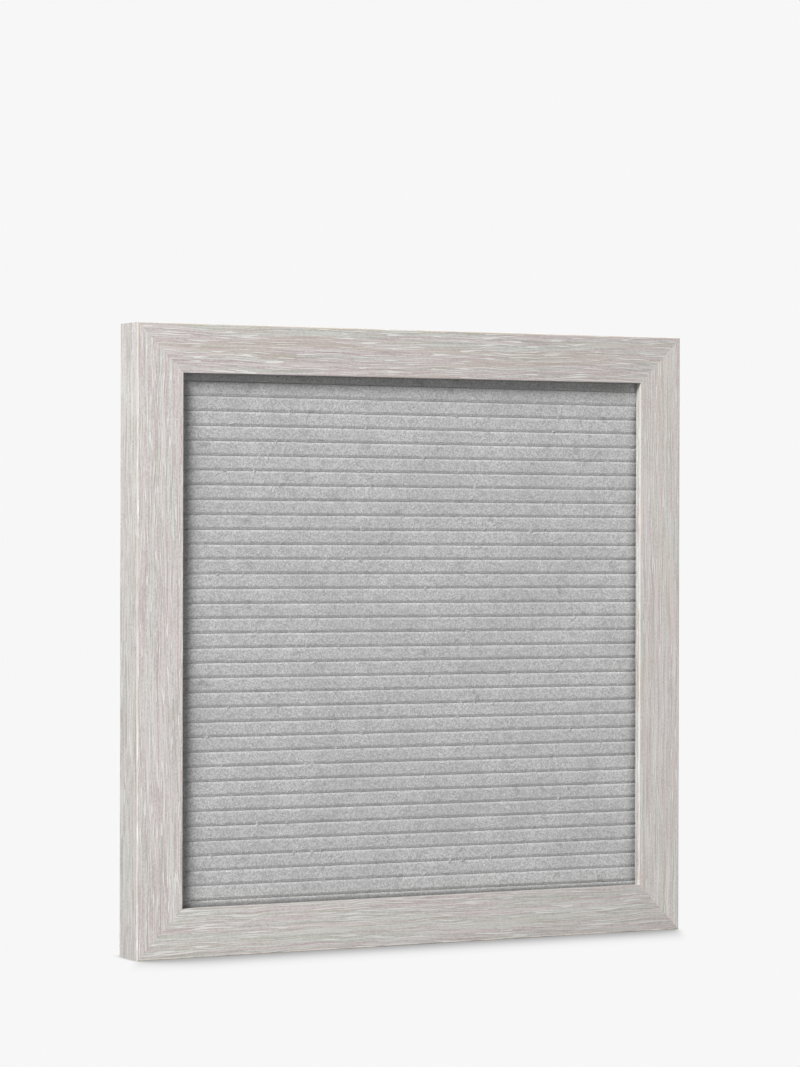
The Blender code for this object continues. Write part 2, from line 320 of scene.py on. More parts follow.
# Painted shade on the felt beside the right and lower lips, fading out near the top
LIP_EDGE_SHADE_TONE = 0.80

# Painted shade on the felt beside the left lip
SHADED_TONE = 0.90
SHADED_NEAR = 4.5 * MM
SHADED_FAR = 7.5 * MM

# The felt's unevenness in depth and in height, and the waves per metre of both
UNEVEN_DEPTH = 0.05 * MM
DEPTH_WAVES = (60, 160)
DEPTH_SLICE = 3.0
UNEVEN_HEIGHT = 0.05 * MM
HEIGHT_WAVES = (110, 300)
HEIGHT_SLICE = 9.0

# Columns of the felt's points, wide over the middle and close beside the lip
FELT_COLUMN_STEP = 1.6 * MM
EDGE_COLUMN_STEP = 0.45 * MM
EDGE_COLUMNS = 12

# Loose fibres on the felt, singly and in tufts, with ranges of length and radius in millimetres
LINT_SEED = 11
LINT_COUNT = 1500
LINT_MARGIN = 2 * MM
LINT_LENGTH = (1.0, 3.2)
LINT_RADIUS = (0.03, 0.065)
LINT_LIFT = 0.15 * MM
LINT_TUFTS = 70
TUFT_FIBRES = 9
TUFT_SPREAD = (0.25, 0.35)
TUFT_LENGTH = (0.5, 1.3)
TUFT_RADIUS = (0.04, 0.065)
TUFT_LIFT = 0.12 * MM
FIBRE_BEND = 0.7
FIBRE_END_GIRTH = 0.5
LINT_SEGMENTS = 5
LINT_SIDES = 3


# Node materials


class Surface:
    """A node material that is put together one named step at a time."""

    def __init__(self, name):
        self.material = bpy.data.materials.new(name)
        self.material.use_nodes = True
        self.tree = self.material.node_tree
        self.shader = self.tree.nodes["Principled BSDF"]
        self.coordinates = self.tree.nodes.new("ShaderNodeTexCoord").outputs["Object"]

    def plug(self, value, socket):
        """Links an output, or writes a constant on the socket."""
        if isinstance(value, bpy.types.NodeSocket):
            self.tree.links.new(value, socket)
        else:
            socket.default_value = value

    def math(self, operation, a, b=0.0):
        node = self.tree.nodes.new("ShaderNodeMath")
        node.operation = operation
        self.plug(a, node.inputs[0])
        self.plug(b, node.inputs[1])
        return node.outputs[0]

    def add(self, a, b):
        return self.math("ADD", a, b)

    def minus(self, a, b):
        return self.math("SUBTRACT", a, b)

    def times(self, a, b):
        return self.math("MULTIPLY", a, b)

    def total(self, *parts):
        """The sum of values that are each multiplied by a share."""
        terms = [self.times(value, share) for value, share in parts]
        result = terms[0]
        for term in terms[1:]:
            result = self.add(result, term)
        return result

    def scaled(self, vector, factors, shift=(0.0, 0.0, 0.0)):
        """The vector times the factors, plus a shift."""
        node = self.tree.nodes.new("ShaderNodeVectorMath")
        node.operation = "MULTIPLY_ADD"
        self.plug(vector, node.inputs[0])
        node.inputs[1].default_value = factors
        node.inputs[2].default_value = shift
        return node.outputs[0]

    def millimetres(self):
        """Places on the object in millimetres."""
        return self.scaled(self.coordinates, MILLIMETRES)

    def split(self, vector):
        node = self.tree.nodes.new("ShaderNodeSeparateXYZ")
        self.plug(vector, node.inputs[0])
        return node.outputs[0], node.outputs[1], node.outputs[2]

    def join(self, x, y, z):
        node = self.tree.nodes.new("ShaderNodeCombineXYZ")
        self.plug(x, node.inputs[0])
        self.plug(y, node.inputs[1])
        self.plug(z, node.inputs[2])
        return node.outputs[0]

    def grey(self, level):
        """A value as a vector that a colour socket takes as grey."""
        return self.join(level, level, level)

    def noise(self, vector, name, **changes):
        """The named noise at a place in millimetres."""
        look = {**PLAIN_NOISE, **NOISES[name], **changes}
        node = self.tree.nodes.new("ShaderNodeTexNoise")
        self.plug(self.scaled(vector, look["scale"], look["shift"]), node.inputs["Vector"])
        node.inputs["Scale"].default_value = 1.0
        node.inputs["Detail"].default_value = look["detail"]
        node.inputs["Roughness"].default_value = look["roughness"]
        return node.outputs["Fac"]

    def step(self, value, low, high, to_low=0.0, to_high=1.0):
        """A soft step from to_low to to_high as the value runs from low to high."""
        node = self.tree.nodes.new("ShaderNodeMapRange")
        node.interpolation_type = "SMOOTHSTEP"
        self.plug(value, node.inputs["Value"])
        node.inputs["From Min"].default_value = low
        node.inputs["From Max"].default_value = high
        node.inputs["To Min"].default_value = to_low
        node.inputs["To Max"].default_value = to_high
        return node.outputs["Result"]

    def mix(self, factor, a, b, blend="MIX"):
        node = self.tree.nodes.new("ShaderNodeMix")
        node.data_type = "RGBA"
        node.blend_type = blend
        self.plug(factor, node.inputs["Factor"])
        colours = [socket for socket in node.inputs if socket.type == "RGBA"]
        self.plug(a, colours[0])
        self.plug(b, colours[1])
        return next(socket for socket in node.outputs if socket.type == "RGBA")

    def shaded(self, colour, shade):
        """The colour times a grey."""
        return self.mix(1.0, colour, self.grey(shade), "MULTIPLY")

    def bump(self, height, distance, strength):
        node = self.tree.nodes.new("ShaderNodeBump")
        node.inputs["Strength"].default_value = strength
        node.inputs["Distance"].default_value = distance
        self.plug(height, node.inputs["Height"])
        return node.outputs["Normal"]

    def finish(self, colour, roughness, normal=None, metallic=0.0):
        self.plug(colour, self.shader.inputs["Base Color"])
        self.plug(roughness, self.shader.inputs["Roughness"])
        self.shader.inputs["Metallic"].default_value = metallic
        if normal:
            self.plug(normal, self.shader.inputs["Normal"])
        return self.material


def srgb(levels):
    """A linear colour from three display levels of 0 to 255."""
    linear = []
    for value in levels:
        share = value / 255
        linear.append(share / 12.92 if share <= 0.04045 else ((share + 0.055) / 1.055) ** 2.4)
    return (*linear, 1.0)


def face_width():
    """How wide the rails' faces are, in metres."""
    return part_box("rail_bottom")[1].z


def above_middle(surface, z):
    """Height above the board's middle, in millimetres."""
    return surface.minus(z, cad_box[1].z / 2 / MM)


def near_arris(surface, across, y):
    """Masks of the outer and the inner front arris of a rail."""
    low, high = cad_box
    half = (high.x - low.x) / 2 / MM
    outward = surface.minus(half, across)
    back = surface.minus(y, low.y / MM)
    front = surface.step(back, *FRONT_REACH, 1.0, 0.0)
    outer = surface.times(surface.step(outward, *OUTER_REACH, 1.0, 0.0), front)
    inward = surface.minus(face_width() / MM, outward)
    inner = surface.times(surface.step(inward, *INNER_REACH, 1.0, 0.0), front)
    return outer, inner


def soft_level(surface, light, half_range):
    """A noise as a grey that spans twice the half range round the noise's middle."""
    return surface.grey(surface.step(light, NOISE_MIDDLE - half_range, NOISE_MIDDLE + half_range))


def rail_flank(surface, y):
    """1 on a rail's flanks, 0 on its front and its back."""
    front = cad_box[0].y / MM
    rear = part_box("rail_bottom")[1].y / MM
    start = surface.step(y, front + FLANK_START[0], front + FLANK_START[1])
    return surface.times(start, surface.step(y, rear - FLANK_END[0], rear - FLANK_END[1], 1.0, 0.0))


def wall_lift(surface, x, z, flank):
    """How much less painted shade the right rail's inner wall and outer side carry than the other flanks,
    with painted light at the wall's top end.
    """
    face = face_width()
    halfway = (cad_box[1].x - face / 2) / MM
    wall = surface.step(x, halfway - 1, halfway + 1, 1.0, 0.0)
    outside = surface.minus(1.0, wall)
    rise = surface.times(above_middle(surface, z), (WALL_SHADE_FADE - FLANK_SHADE_FADE) * MM)
    top = (cad_box[1].z - face) / MM
    corner = surface.step(z, top - CORNER_REACH, top, 0.0, CORNER_PAINTED_LIGHT)
    lift = surface.add(surface.add(rise, WALL_SHADE_TONE - FLANK_SHADE_TONE), corner)
    lift = surface.times(lift, wall)
    lift = surface.add(lift, surface.times(outside, OUTSIDE_SHADE_TONE - FLANK_SHADE_TONE))
    return surface.times(lift, flank)


def rail_shade(surface, side, x, z, flank):
    """The painted light and shade on a rail at each place, against its own tone."""
    rise = surface.times(above_middle(surface, z), FLANK_SHADE_FADE * MM)
    drop = surface.minus(1.0 - FLANK_SHADE_TONE, rise)
    shade = surface.minus(1.0, surface.times(flank, drop))
    if side == "right":
        shade = surface.add(shade, wall_lift(surface, x, z, flank))
    painted_falloff = surface.add(surface.times(x, RAIL_LOOKS[side]["painted_falloff"] * MM), 1.0)
    shade = surface.times(shade, painted_falloff)
    if side == "bottom":
        shade = surface.times(shade, surface.step(z, *FOOT_REACH, FOOT_TONE, 1.0))
    return shade


def limed_oak(side, upright, lip_shade):
    """Pale limed oak with its grain along X, or along Z on an upright rail."""
    look = RAIL_LOOKS[side]
    surface = Surface("limed_oak_" + side)
    x, y, z = surface.split(surface.millimetres())
    along, across = (z, x) if upright else (x, z)
    shift = tuple(part * look["seed"] for part in SEED_SHIFT)
    plain = surface.join(along, y, across)

    def oak_noise(place, name):
        return surface.noise(place, name, shift=shift)

    def toned(levels, spread=0.0):
        return srgb((level + spread) * look["tone"] for level in levels)

    drift = (oak_noise(plain, "oak_drift"), DRIFT_SWING)
    ripple = (oak_noise(plain, "oak_ripple"), RIPPLE_SWING)
    grain = surface.join(along, y, surface.add(across, surface.total(drift, ripple)))
    light = surface.total(
        (oak_noise(grain, "oak_lines"), LINE_SHARE),
        (oak_noise(grain, "oak_threads"), THREAD_SHARE),
        (oak_noise(grain, "oak_bands"), BAND_SHARE),
        (oak_noise(plain, "oak_specks"), SPECK_SHARE),
    )

    # Sage and pink streaks, softer on the flanks, with amber patches
    flank = rail_flank(surface, y)
    on_face = soft_level(surface, light, FACE_HALF_RANGE)
    on_flank = soft_level(surface, light, FLANK_HALF_RANGE)
    level = surface.mix(flank, on_face, on_flank)
    spread = GRAIN_SPREAD * look["contrast"]
    sage = surface.mix(level, toned(SAGE_DARK, -spread), toned(SAGE_PALE, spread))
    pink = surface.mix(level, toned(PINK_DARK, -spread), toned(PINK_PALE, spread))
    rose = surface.add(oak_noise(grain, "oak_rose"), look["blush"])
    blush = soft_level(surface, rose, look["flush"])
    blush = surface.mix(surface.times(flank, FLANK_SAGE), blush, FLANK_BLUSH)
    colour = surface.mix(blush, sage, pink)
    warmth = surface.step(oak_noise(grain, "oak_warmth"), *WARMTH_EDGE, 0.0, look["amber"])
    colour = surface.mix(warmth, colour, toned(AMBER))

    # Strokes of lime, each with a painted shadow on one side
    crowd = surface.step(oak_noise(grain, "oak_groups"), *GROUP_EDGE, *GROUP_BIAS)
    dash_noise = "upright_dashes" if upright else "level_dashes"
    dash_edge = UPRIGHT_DASH_EDGE if upright else LEVEL_DASH_EDGE

    def dashes(offset):
        """Short strokes of lime in the open pores, shifted across the grain."""
        moved = (shift[0], shift[1], shift[2] + offset)
        return surface.step(surface.add(surface.noise(grain, dash_noise, shift=moved), crowd), *dash_edge)

    dash = dashes(0.0)
    painted_dash_shadow = dashes(-DASH_OFFSET if upright else DASH_OFFSET)
    colour = surface.mix(surface.times(painted_dash_shadow, DASH_SHADOW), colour, toned(PORE_SHADOW))
    colour = surface.mix(surface.times(dash, look["lime"]), colour, toned(LIME))
    # Painted shade on the flanks, painted light on the right rail's wall, and a painted falloff of light
    # along the level rails
    colour = surface.shaded(colour, rail_shade(surface, side, x, z, flank))

    # Worn arrises. The left outer arris's grey tint, all over near its top, and the lips' tints are painted
    # shade, and the bottom outer arris's pale tint is painted light
    centred = x if upright else above_middle(surface, z)
    outer, inner = near_arris(surface, surface.math("ABSOLUTE", centred), y)
    worn = surface.step(oak_noise(plain, "oak_chips"), *CHIP_EDGE, *CHIP_WEAR)
    if side == "left":
        top = cad_box[1].z / MM
        worn = surface.math("MAXIMUM", worn, surface.step(z, top - LEFT_ARRIS_SHADE_REACH, top - LEFT_ARRIS_SHADE_REACH / 3))
    colour = surface.mix(surface.times(outer, worn), colour, srgb(ARRIS_WEAR_AND_PAINTED_LIGHT[side]))
    colour = surface.mix(surface.times(inner, LIP_SHADE_COVER), colour, srgb(lip_shade))

    height = surface.minus(surface.times(level, GRAIN_RELIEF), dash)
    roughness = surface.step(dash, 0.0, 1.0, OAK_ROUGHNESS, LIME_ROUGHNESS)
    return surface.finish(colour, roughness, surface.bump(height, *OAK_BUMP))


def felt_shade(surface):
    """Painted shade on the felt, beside the right lip but not near its top, beside the lower lip and beside
    the left lip.
    """
    x, _, z = surface.split(surface.coordinates)
    sight = face_width()
    right = surface.step(x, cad_box[1].x - sight - SIDE_DIP_REACH, cad_box[1].x - sight)
    top = cad_box[1].z - sight
    right = surface.times(right, surface.step(z, top - DIP_FULL, top - DIP_START, 1.0, 0.0))
    below = surface.step(z, sight, sight + END_DIP_REACH, 1.0, 0.0)
    beside_lips = surface.math("MAXIMUM", right, below)
    lip_edge_shade = surface.step(beside_lips, 0.0, 1.0, 1.0, LIP_EDGE_SHADE_TONE)
    left = cad_box[0].x + sight
    shaded = surface.step(x, left + SHADED_NEAR, left + SHADED_FAR, SHADED_TONE, 1.0)
    return surface.times(lip_edge_shade, shaded)


def grey_felt(name):
    """Short grey pile: a fine speckle over soft mottling, with blotches, smudges and pale flecks."""
    surface = Surface(name)
    spread = surface.millimetres()
    light = surface.total(
        (surface.noise(spread, "felt_speckle"), SPECKLE_SHARE),
        (surface.noise(spread, "felt_fibres"), FIBRE_SHARE),
        (surface.noise(spread, "felt_mottle"), MOTTLE_SHARE),
    )
    colour = surface.mix(surface.step(light, *LIGHT_STEP), srgb(FELT_DARK), srgb(FELT_PALE))
    blotches = surface.step(surface.noise(spread, "felt_blotches"), *BLOTCH_STEP)
    colour = surface.mix(blotches, colour, srgb(BLOTCH))
    smudges = surface.step(surface.noise(spread, "felt_smudges"), *SMUDGE_STEP)
    colour = surface.mix(smudges, colour, srgb(SMUDGE))
    gathered = surface.step(surface.noise(spread, "felt_gathered"), *GATHER_STEP)
    flecks = surface.add(surface.noise(spread, "felt_flecks"), gathered)
    colour = surface.mix(surface.step(flecks, *FLECK_STEP), colour, srgb(FLECK))
    # Painted shade on the felt beside the lips
    colour = surface.shaded(colour, felt_shade(surface))
    surface.shader.inputs["Sheen Weight"].default_value = FELT_SHEEN
    surface.shader.inputs["Sheen Roughness"].default_value = FELT_SHEEN_ROUGHNESS
    surface.shader.inputs["Specular IOR Level"].default_value = FIBRE_SPECULAR
    return surface.finish(colour, FELT_ROUGHNESS, surface.bump(light, *FELT_BUMP))


def lint_material(name):
    """Pale loose fibres."""
    surface = Surface(name)
    tone = surface.step(surface.noise(surface.millimetres(), "lint_tone"), *LINT_STEP)
    surface.shader.inputs["Specular IOR Level"].default_value = FIBRE_SPECULAR
    return surface.finish(surface.mix(tone, srgb(LINT_DARK), srgb(LINT_PALE)), LINT_ROUGHNESS)


def hardboard_material(name):
    """Brown pressed fibres with darker clouds."""
    surface = Surface(name)
    spread = surface.millimetres()
    fibre = surface.noise(spread, "board_fibre")
    clouds = surface.step(surface.noise(spread, "board_clouds"), *CLOUD_STEP)
    colour = surface.mix(surface.step(fibre, *BOARD_STEP), srgb(BOARD_DARK), srgb(BOARD_PALE))
    colour = surface.mix(clouds, colour, srgb(BOARD_CLOUD))
    return surface.finish(colour, BOARD_ROUGHNESS, surface.bump(fibre, *BOARD_BUMP))


def metal_material(name, colour, worn):
    """Satin metal with fine brushing and duller patches."""
    surface = Surface(name)
    spread = surface.millimetres()
    brushing = surface.noise(spread, "metal_brushing")
    patches = surface.step(surface.noise(spread, "metal_patches"), *DULL_STEP)
    tint = surface.mix(patches, srgb(colour), srgb(worn))
    roughness = surface.step(brushing, *METAL_ROUGHNESS_STEP)
    return surface.finish(tint, roughness, surface.bump(brushing, *METAL_BUMP), metallic=1.0)


# Meshes


def add_mesh(name, points, faces, material):
    """A new object in the scene, bare where no material is given."""
    mesh = bpy.data.meshes.new(name)
    mesh.from_pydata(points, [], faces)
    mesh.update()
    if material:
        mesh.materials.append(material)
    obj = bpy.data.objects.new(name, mesh)
    bpy.context.collection.objects.link(obj)
    return obj


def arc(centre, radius, start, end, steps):
    """Points of a section along an arc, from one angle to another in degrees."""
    points = []
    for step in range(steps + 1):
        angle = math.radians(start + (end - start) * step / steps)
        points.append((centre[0] + radius * math.cos(angle), centre[1] + radius * math.sin(angle)))
    return points


def between(start, end, count):
    """Points strictly between two points of a section, which cut its length into count parts."""
    shares = [step / count for step in range(1, count)]
    return [(start[0] + (end[0] - start[0]) * s, start[1] + (end[1] - start[1]) * s) for s in shares]


def rail_section(sizes, outer_arris, inner_arris):
    """A rail's section as (y, inward) pairs, with close points where the rail is seen."""
    front, back, lip, wall, face = sizes
    outer_front = arc((front + outer_arris, outer_arris), outer_arris, 180, 270, ARRIS_STEPS)
    outer_back = arc((back - BACK_ARRIS, BACK_ARRIS), BACK_ARRIS, 270, 360, ARRIS_STEPS)
    inner = arc((front + inner_arris, face - inner_arris), inner_arris, 90, 180, ARRIS_STEPS)
    rabbet = [(back, wall), (lip, wall), (lip, face)]
    points = list(outer_front)
    points += between(outer_front[-1], outer_back[0], round((back - front) / (2 * FACE_STEP))) + outer_back
    points += between(outer_back[-1], rabbet[0], round(wall / HIDDEN_STEP)) + rabbet[:1]
    points += between(rabbet[0], rabbet[1], round((back - lip) / HIDDEN_STEP)) + rabbet[1:2]
    points += between(rabbet[1], rabbet[2], round((face - wall) / HIDDEN_STEP)) + rabbet[2:]
    points += between(rabbet[2], inner[0], round((lip - front) / (2 * FACE_STEP))) + inner
    points += between(inner[-1], outer_front[0], round(face / FACE_STEP))
    return points


def rail_sizes():
    """Front, back, lip, rabbet wall and face width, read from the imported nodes."""
    low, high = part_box("rail_bottom")
    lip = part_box("felt_letter_panel")[0].y - CAD_GAP
    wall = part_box("backing_board")[0].z - BACKING_CLEARANCE
    return low.y, high.y, lip, wall, high.z


def nail_slot_cutter():
    """One mesh of all V-nails, a little wider than they are and open to the back."""
    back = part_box("rail_bottom")[1].y
    points, faces = [], []
    for name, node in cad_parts.items():
        if not name.startswith("v_nail"):
            continue
        base = len(points)
        middle = sum(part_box(name)[i].y for i in (0, 1)) / 2
        nail = bmesh.new()
        nail.from_mesh(node.data)
        nail.transform(node.matrix_world)
        bmesh.ops.remove_doubles(nail, verts=nail.verts, dist=WELD)
        nail.normal_update()
        for vertex in nail.verts:
            place = vertex.co + vertex.normal * vertex.calc_shell_factor() * SLOT_ROOM
            if place.y > middle:
                place.y = back + MM
            points.append(place)
        faces += [tuple(base + vertex.index for vertex in face.verts) for face in nail.faces]
        nail.free()
    return add_mesh("nail_slots", points, faces, None)


def cut_slots(rail, cutter):
    """Cuts the V-nails' slots into a rail's mesh for good."""
    modifier = rail.modifiers.new("slots", "BOOLEAN")
    modifier.operation = "DIFFERENCE"
    modifier.solver = "EXACT"
    modifier.object = cutter
    shaped = rail.evaluated_get(bpy.context.evaluated_depsgraph_get())
    mesh = bpy.data.meshes.new_from_object(shaped)
    rail.modifiers.clear()
    rail.data = mesh
    mesh.materials.clear()


def make_rail(side, origin, along, inward, length, material, cutter):
    """A mitred rail whose arrises swell and shrink a little along it."""
    sizes = rail_sizes()
    setback = MITRE_GAP / 2 * math.sqrt(2)
    stations = round(length / STATION_STEP)
    points = []
    ring = 0
    for station in range(stations + 1):
        share = 2 * station / stations - 1
        spot = Vector((share * WANDER_WAVES, origin.x * WANDER_PLACE, origin.z * WANDER_PLACE))
        wander = ARRIS_WANDER * noise.noise(spot) * (1 - share ** WANDER_END_POWER)
        section = rail_section(sizes, OUTER_ARRIS * (1 + wander), INNER_ARRIS * (1 - wander))
        ring = len(section)
        for y, z in section:
            reach = (length / 2 - z - setback) * share
            points.append(origin + along * reach + inward * z + Vector((0.0, y, 0.0)))
    faces = []
    for station in range(stations):
        first = station * ring
        for corner in range(ring):
            after = (corner + 1) % ring
            faces.append((first + corner, first + ring + corner, first + ring + after, first + after))
    last = stations * ring
    faces.append(tuple(range(ring)))
    faces.append(tuple(last + corner for corner in reversed(range(ring))))
    rail = add_mesh("oak_rail_" + side, points, faces, material)
    cut_slots(rail, cutter)
    rail.data.materials.append(material)
    rail.data.shade_smooth()
    rail.data.set_sharp_from_angle(angle=RAIL_SHARP_ANGLE)
    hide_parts("rail_" + side)
    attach(rail, "root")


def make_rails():
    """The four mitred rails, each with its own cut of oak."""
    low, high = cad_box
    middle = (low.z + high.z) / 2
    width = high.x - low.x
    height = high.z - low.z
    right, up = Vector((1.0, 0.0, 0.0)), Vector((0.0, 0.0, 1.0))
    rows = (
        ("bottom", Vector((0.0, 0.0, low.z)), right, up, width, False, LIP_PAINTED_SHADE),
        ("top", Vector((0.0, 0.0, high.z)), -right, -up, width, False, LIP_PAINTED_SHADE),
        ("left", Vector((low.x, 0.0, middle)), -up, right, height, True, LIP_PAINTED_SHADE),
        ("right", Vector((high.x, 0.0, middle)), up, -right, height, True, PALE_LIP_PAINTED_SHADE),
    )
    cutter = nail_slot_cutter()
    for side, origin, along, inward, length, upright, lip_shade in rows:
        make_rail(side, origin, along, inward, length, limed_oak(side, upright, lip_shade), cutter)
    bpy.data.meshes.remove(cutter.data)


def groove_section(centre, face):
    """One groove as (depth behind the face, height), from its upper lip to its lower lip."""
    half = GROOVE_MOUTH / 2
    upper = [(0.0, centre + half + LOWER_EDGE_HEIGHT + EDGE_HOLD)]
    for step in range(RIDGE_STEPS + 1):
        share = step / RIDGE_STEPS
        upper.append((LOWER_EDGE_DEPTH * share, centre + half + LOWER_EDGE_HEIGHT * (1 - share)))
    lower = []
    for step in range(RIDGE_STEPS + 1):
        share = step / RIDGE_STEPS
        depth = UPPER_EDGE_DEPTH * (1 - share) ** UPPER_EDGE_CURVE
        lower.append((depth, centre - half - UPPER_EDGE_HEIGHT * share))
    lower.append((0.0, centre - half - UPPER_EDGE_HEIGHT - EDGE_HOLD))
    floor = [(GROOVE_DEPTH, centre + half), (GROOVE_DEPTH, centre - half)]
    return [(face + depth, height) for depth, height in upper + floor + lower]


def felt_columns(half_width, half_sight):
    """Stations across the panel: close beside the lip, wider over the middle, none under the lip."""
    edge = [half_sight + EDGE_COLUMN_STEP * (1 - step) for step in range(EDGE_COLUMNS)]
    middle = round(2 * edge[-1] / FELT_COLUMN_STEP)
    inner = [edge[-1] * (2 * step / middle - 1) for step in range(1, middle)]
    return [-half_width] + [-x for x in edge] + inner + edge[::-1] + [half_width]


def dip_share(place, half_sight, reach):
    """0 over the open felt, 1 where the lip begins and a little more under it."""
    inside = half_sight - place
    return min(max(1 - inside / reach, 0.0), DIP_UNDER_LIP)


def felt_relief(x, z, half_sight):
    """How far the felt lies behind its packed face at a place measured from the panel's middle."""
    below_top = (half_sight - z - DIP_START) / (DIP_FULL - DIP_START)
    right = dip_share(x, half_sight, SIDE_DIP_REACH) * min(max(below_top, 0.0), 1.0)
    bottom = dip_share(-z, half_sight, END_DIP_REACH)
    uneven = UNEVEN_DEPTH * noise.noise(Vector((x * DEPTH_WAVES[0], z * DEPTH_WAVES[1], DEPTH_SLICE)))
    return FELT_DIP * max(right, bottom) ** DIP_CURVE + uneven


def panel_section(face, back, top):
    """The panel's section as (y, height), down the grooved front and up the back."""
    section = [(face, top)]
    for number in range(GROOVE_COUNT):
        height = ((GROOVE_COUNT - 1) / 2 - number) * GROOVE_PITCH + GROOVE_SHIFT
        groove = groove_section(height, face)
        parts = max(round(math.dist(section[-1], groove[0]) / RIDGE_SPACING), 1)
        section += between(section[-1], groove[0], parts) + groove
    parts = max(round(math.dist(section[-1], (face, -top)) / LAST_RIDGE_SPACING), 1)
    section += between(section[-1], (face, -top), parts)
    return section + [(face, -top), (back, -top), (back, top)]


def make_felt(material):
    """The grooved felt panel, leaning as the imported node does."""
    low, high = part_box("felt_letter_panel")
    centre = (low + high) / 2
    box_width = high.x - low.x
    lean = math.asin(2 * PANEL_DROOP / box_width)
    half_width = box_width / (math.cos(lean) + math.sin(lean)) / 2
    half_sight = cad_box[1].x - face_width()
    section = panel_section(low.y, high.y, half_width)
    columns = felt_columns(half_width, half_sight)
    ring = len(section)
    turn = Matrix.Rotation(lean, 3, "Y")
    middle = Vector((centre.x, 0.0, centre.z))
    points = []
    for x in columns:
        for y, z in section:
            spot = Vector((x * HEIGHT_WAVES[0], z * HEIGHT_WAVES[1], HEIGHT_SLICE))
            wave = UNEVEN_HEIGHT * noise.noise(spot)
            sink = felt_relief(x, z, half_sight) if y < high.y else 0.0
            hidden = abs(z) > half_sight + END_DIP_REACH
            points.append(middle + turn @ Vector((x, y + sink, z if hidden else z + wave)))
    faces = []
    for column in range(len(columns) - 1):
        first = column * ring
        for corner in range(ring):
            after = (corner + 1) % ring
            faces.append((first + corner, first + after, first + ring + after, first + ring + corner))
    last = (len(columns) - 1) * ring
    faces.append(tuple(reversed(range(ring))))
    faces.append(tuple(last + corner for corner in range(ring)))
    felt = add_mesh("felt_panel", points, faces, material)
    felt.data.shade_smooth()
    felt.data.set_sharp_from_angle(angle=FELT_SHARP_ANGLE)
    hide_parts("felt_letter_panel")
    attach(felt, "root")


def fibre_path(draw, start, length, lift):
    """A short curl that lies on the felt's face."""
    heading = draw.uniform(0.0, 2 * math.pi)
    bend = draw.uniform(-FIBRE_BEND, FIBRE_BEND)
    step = length / LINT_SEGMENTS
    place = Vector(start)
    path = [place.copy()]
    for segment in range(LINT_SEGMENTS):
        heading += bend
        rise = math.sin(math.pi * (segment + 1) / LINT_SEGMENTS) * lift
        across = place.x + step * math.cos(heading)
        height = place.z + step * math.sin(heading)
        place = Vector((across, start[1] - rise, height))
        path.append(place.copy())
    return path


def add_fibre(points, faces, path, radius):
    """A thin closed tube along a path, tapered to its two ends."""
    base = len(points)
    for number, place in enumerate(path):
        before = path[max(number - 1, 0)]
        after = path[min(number + 1, len(path) - 1)]
        run = (after - before).normalized()
        side = run.cross(Vector((0.0, 1.0, 0.0))).normalized()
        out = side.cross(run)
        girth = radius * (FIBRE_END_GIRTH if number in (0, len(path) - 1) else 1.0)
        for corner in range(LINT_SIDES):
            angle = 2 * math.pi * corner / LINT_SIDES
            points.append(place + (side * math.cos(angle) + out * math.sin(angle)) * girth)
    for number in range(len(path) - 1):
        first = base + number * LINT_SIDES
        for corner in range(LINT_SIDES):
            after = (corner + 1) % LINT_SIDES
            second = first + LINT_SIDES
            faces.append((first + corner, first + after, second + after, second + corner))
    last = base + (len(path) - 1) * LINT_SIDES
    faces.append(tuple(base + corner for corner in reversed(range(LINT_SIDES))))
    faces.append(tuple(last + corner for corner in range(LINT_SIDES)))


def make_lint(material):
    """Pale fibres that have worked loose, singly and in small tufts across the grooves."""
    draw = random.Random(LINT_SEED)
    low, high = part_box("felt_letter_panel")
    centre = (low + high) / 2
    reach = cad_box[1].x - face_width() - SIDE_DIP_REACH - LINT_MARGIN
    face = low.y
    points, faces = [], []
    for _ in range(LINT_COUNT):
        x = centre.x + draw.uniform(-reach, reach)
        z = centre.z + draw.uniform(-reach, reach)
        path = fibre_path(draw, (x, face, z), draw.uniform(*LINT_LENGTH) * MM, LINT_LIFT)
        add_fibre(points, faces, path, draw.uniform(*LINT_RADIUS) * MM)
    for _ in range(LINT_TUFTS):
        x = centre.x + draw.uniform(-reach, reach)
        row = draw.randrange(2, GROOVE_COUNT - 2)
        height = ((GROOVE_COUNT - 1) / 2 - row) * GROOVE_PITCH + GROOVE_SHIFT
        z = centre.z + height - x * math.tan(2 * PANEL_DROOP / (high.x - low.x))
        for _ in range(TUFT_FIBRES):
            aside = draw.gauss(0.0, TUFT_SPREAD[0]) * MM
            start = (x + aside, face, z + draw.gauss(0.0, TUFT_SPREAD[1]) * MM)
            path = fibre_path(draw, start, draw.uniform(*TUFT_LENGTH) * MM, TUFT_LIFT)
            add_fibre(points, faces, path, draw.uniform(*TUFT_RADIUS) * MM)
    lint = add_mesh("felt_lint", points, faces, material)
    lint.data.shade_smooth()
    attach(lint, "root")


def dress_nodes():
    """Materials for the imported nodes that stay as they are."""
    steel = metal_material("bright_steel", STEEL, STEEL_DULL)
    brass = metal_material("brassed_steel", BRASS, BRASS_DULL)
    board = hardboard_material("hardboard")
    finishes = {"point": steel, "v": steel, "sawtooth": brass, "hanger": brass, "backing": board}
    for name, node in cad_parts.items():
        family = name.split("_")[0]
        if family in finishes:
            node.data.materials.clear()
            node.data.materials.append(finishes[family])


# Stage, light and camera


